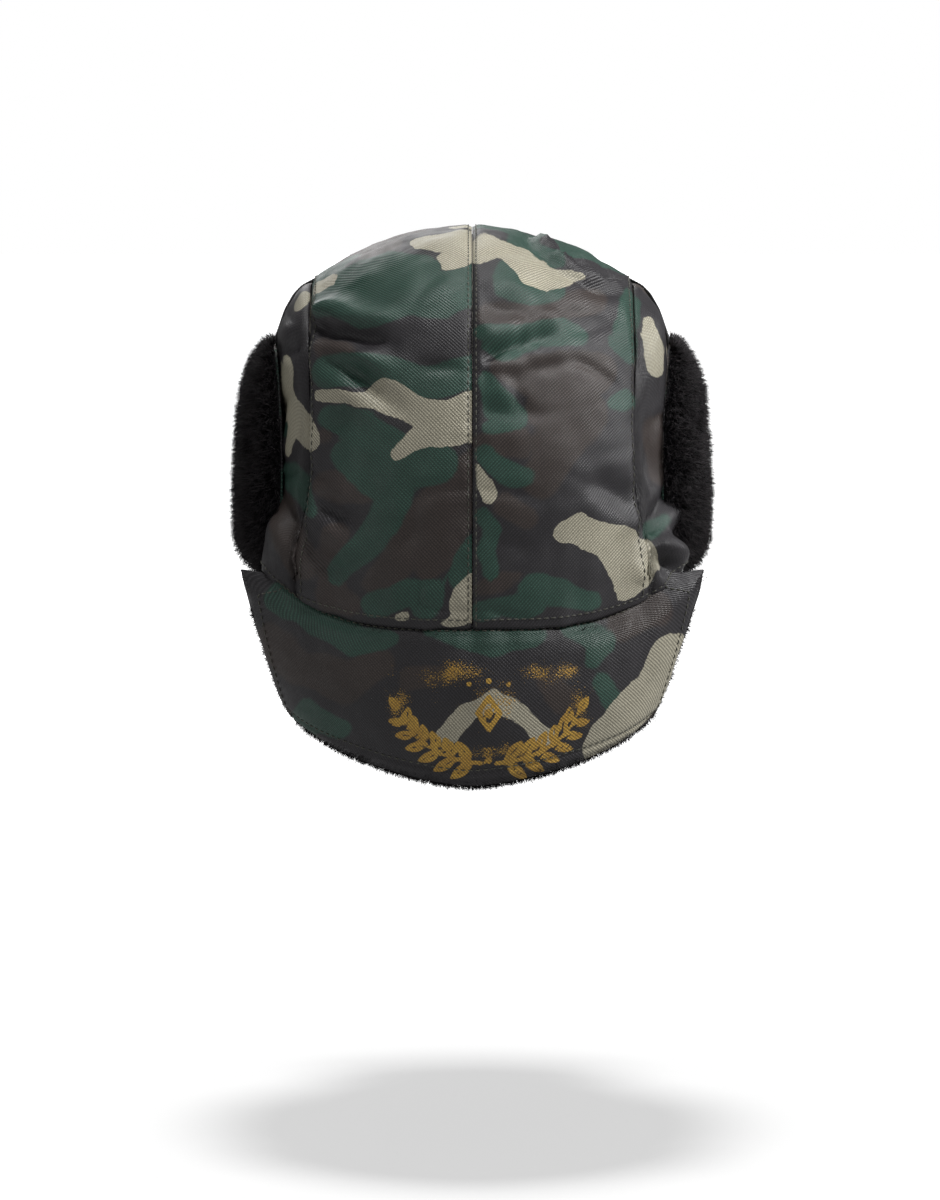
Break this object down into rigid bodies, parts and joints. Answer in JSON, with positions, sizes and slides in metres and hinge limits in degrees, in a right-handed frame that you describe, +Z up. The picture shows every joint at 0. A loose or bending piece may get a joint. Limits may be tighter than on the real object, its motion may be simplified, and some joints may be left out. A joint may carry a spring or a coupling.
{
  "type": "trapper hat",
  "caption": "Padded winter hat with fur-lined ear, front and neck flaps and a buckled chin strap.",
  "frame": {"origin": "centre of the head opening, in the plane of the crown's edge at the ears", "axes": "+Z up through the crown, -Y towards the face, +X towards the wearer's left"},
  "size_m": [0.2268, 0.2438, 0.2543],
  "materials": {
    "camo_cloth": "woven",
    "wadding": "matte",
    "interlining": "matte",
    "lining": "woven",
    "faux_fur": "matte",
    "elastic": "woven",
    "label_cloth": "woven",
    "snap_metal": "semi_gloss",
    "webbing": "woven",
    "buckle_plastic": "matte",
    "stencil_paint": "matte",
    "thread": "woven"
  },
  "bodies": {
    "crown": {"center_panel_left": "camo_cloth", "center_panel_right": "camo_cloth", "side_panel_left": "camo_cloth", "side_panel_right": "camo_cloth", "center_wadding": "wadding", "side_wadding_left": "wadding", "side_wadding_right": "wadding", "center_lining": "lining", "side_lining_left": "lining", "side_lining_right": "lining", "sweatband": "lining", "nape_elastic": "elastic", "care_label": "label_cloth", "front_snap_studs": "snap_metal"},
    "neck_flap": {"neck_flap_shell": "camo_cloth", "neck_flap_fur": "faux_fur"},
    "front_flap": {"front_flap_shell": "camo_cloth", "front_flap_stiffener": "interlining", "front_flap_fur": "faux_fur", "front_snap_sockets": "snap_metal", "front_snap_caps": "snap_metal"},
    "ear_flap_left": {"ear_flap_shell_left": "camo_cloth", "ear_flap_wadding_left": "wadding", "ear_flap_fur_left": "faux_fur"},
    "ear_flap_right": {"ear_flap_shell_right": "camo_cloth", "ear_flap_wadding_right": "wadding", "ear_flap_fur_right": "faux_fur"},
    "strap_left": {"strap_webbing_left": "webbing"},
    "strap_right": {"strap_webbing_right": "webbing", "buckle_female": "buckle_plastic"},
    "buckle_male": {"buckle_male": "buckle_plastic"}
  },
  "joints": [
    {"name": "neck_flap_fold", "type": "hinge", "parent": "crown", "child": "neck_flap", "pos_m": [0, 0.1126, -0.0208], "axis": [1, 0, 0], "range_deg": [0, 60]},
    {"name": "front_flap_fold", "type": "hinge", "parent": "crown", "child": "front_flap", "pos_m": [0, -0.1095, 0.001], "axis": [1, 0, 0], "range_deg": [0, 150]},
    {"name": "ear_flap_left_fold", "type": "hinge", "parent": "crown", "child": "ear_flap_left", "pos_m": [0.0985, -0.002, 0.001], "axis": [0, 1, 0], "range_deg": [0, 170]},
    {"name": "ear_flap_right_fold", "type": "hinge", "parent": "crown", "child": "ear_flap_right", "pos_m": [-0.0985, -0.002, 0.001], "axis": [0, -1, 0], "range_deg": [0, 170]},
    {"name": "strap_left_swing", "type": "hinge", "parent": "ear_flap_left", "child": "strap_left", "pos_m": [0.0944, -0.012, 0.1019], "axis": [0, 1, 0], "range_deg": [0, 75]},
    {"name": "strap_right_swing", "type": "hinge", "parent": "ear_flap_right", "child": "strap_right", "pos_m": [-0.0944, -0.012, 0.1019], "axis": [0, -1, 0], "range_deg": [0, 75]},
    {"name": "buckle_insert", "type": "slide", "parent": "strap_left", "child": "buckle_male", "axis": [-1, 0, 0], "range_m": [0, 0.018]}
  ]
}
